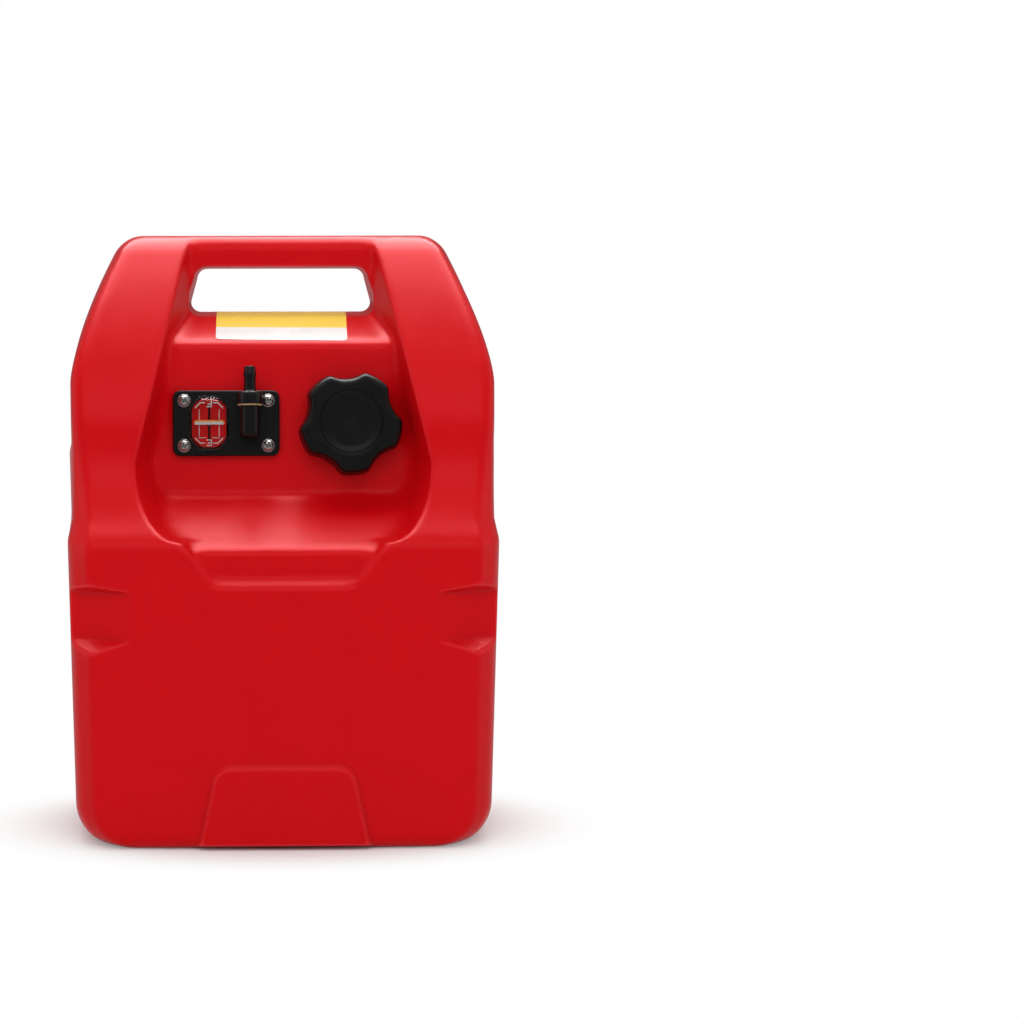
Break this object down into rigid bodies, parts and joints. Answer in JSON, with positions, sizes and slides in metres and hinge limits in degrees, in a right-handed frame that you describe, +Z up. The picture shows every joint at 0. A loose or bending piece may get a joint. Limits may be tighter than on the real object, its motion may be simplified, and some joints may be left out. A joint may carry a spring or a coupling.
{
  "type": "portable fuel tank",
  "caption": "Upright blow-moulded fuel can with a carrying handle, a vented screw cap, a float gauge under a lens, a fuel pickup and a hose barb",
  "frame": {"origin": "middle of the tank's footprint, on the surface that it stands on", "axes": "X to the right seen from the front, the front with cap and gauge faces -Y, Z up"},
  "size_m": [0.3608, 0.225, 0.496],
  "materials": {
    "tank_red": "satin, fine moulded grain",
    "cap_black": "satin",
    "plate_black": "satin",
    "gasket_rubber": "matt",
    "valve_rubber": "matt",
    "insert_brass": "turned",
    "stainless": "polished",
    "lens_clear": "clear, moulded",
    "dial_red": "gloss",
    "pointer_white": "printed",
    "float_tan": "closed-cell foam",
    "pickup_ivory": "natural",
    "washer_tan": "fibre"
  },
  "bodies": {
    "tank": {"tank_body": "tank_red", "insert_nuts": "insert_brass", "gauge_gasket": "gasket_rubber", "gauge_plate": "plate_black", "lens_gasket": "gasket_rubber", "gauge_lens": "lens_clear", "gauge_dial": "dial_red", "gauge_bracket": "plate_black", "pivot_pin": "stainless", "plate_screws": "stainless", "screw_washers": "stainless", "barb_washer": "washer_tan", "hose_barb": "plate_black", "pickup_tube": "pickup_ivory", "pickup_strainer": "pickup_ivory"},
    "cap_seal": {"cap_gasket": "gasket_rubber"},
    "cap": {"fill_cap": "cap_black", "vent_retainer": "plate_black", "vent_spring": "stainless"},
    "vent": {"vent_valve": "valve_rubber"},
    "gauge_float": {"float_arm": "stainless", "float": "float_tan", "gauge_pointer": "pointer_white"}
  },
  "joints": [
    {"name": "cap_rise", "type": "slide", "parent": "tank", "child": "cap_seal", "axis": [0, -0.9945, 0.1045], "range_m": [0, 0.0241]},
    {"name": "cap_turn", "type": "hinge", "parent": "cap_seal", "child": "cap", "pos_m": [0.056, -0.03, 0.3415], "axis": [0, -0.9945, 0.1045], "range_deg": [0, 1080]},
    {"name": "vent_slide", "type": "slide", "parent": "cap", "child": "vent", "axis": [0, 0.9945, -0.1045], "range_m": [0, 0.002], "stiffness_N_per_m": 120, "deforming": ["vent_spring"]},
    {"name": "float_swing", "type": "hinge", "parent": "tank", "child": "gauge_float", "pos_m": [-0.0605, -0.00016, 0.33836], "axis": [1, 0, 0], "range_deg": [-22, 22]}
  ],
  "couplings": [
    {"joint": "cap_rise", "follows": "cap_turn", "m_per_rad": 0.0012732}
  ]
}
